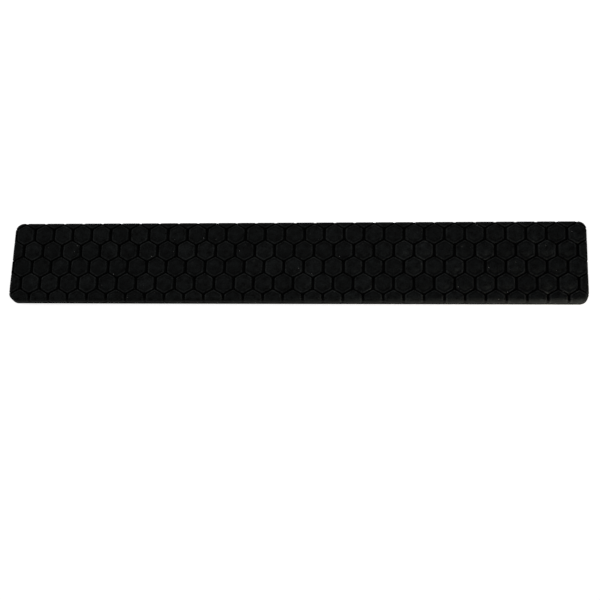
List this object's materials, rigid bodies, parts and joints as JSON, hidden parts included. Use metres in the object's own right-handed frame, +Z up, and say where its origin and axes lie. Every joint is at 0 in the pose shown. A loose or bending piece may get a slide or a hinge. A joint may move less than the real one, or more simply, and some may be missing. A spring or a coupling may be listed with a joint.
{
  "type": "snowboard stomp pad",
  "caption": "Long bar-shaped foam traction pad with a honeycomb tread, rounded edges and a self-adhesive underside on a split release liner.",
  "frame": {"origin": "under the middle of the pad, on the underside of its release liner", "axes": "+X along the pad's length, +Y across its width, +Z up through the tread"},
  "size_m": [0.2326, 0.0336, 0.005],
  "materials": {
    "foam": "matte",
    "adhesive": "satin",
    "film": "gloss",
    "liner": "satin"
  },
  "bodies": {
    "pad": {"foam_pad": "foam", "pad_adhesive": "adhesive", "carrier_film": "film", "board_adhesive": "adhesive"},
    "left_liner": {"liner_left": "liner"},
    "right_liner": {"liner_right": "liner"}
  },
  "joints": [
    {"name": "left_liner_peel", "type": "hinge", "parent": "pad", "child": "left_liner", "pos_m": [-0.1161, 0, 0.00015], "axis": [0, 1, 0], "range_deg": [0, 180]},
    {"name": "right_liner_peel", "type": "hinge", "parent": "pad", "child": "right_liner", "pos_m": [0.1161, 0, 0.00015], "axis": [0, -1, 0], "range_deg": [0, 180]}
  ]
}
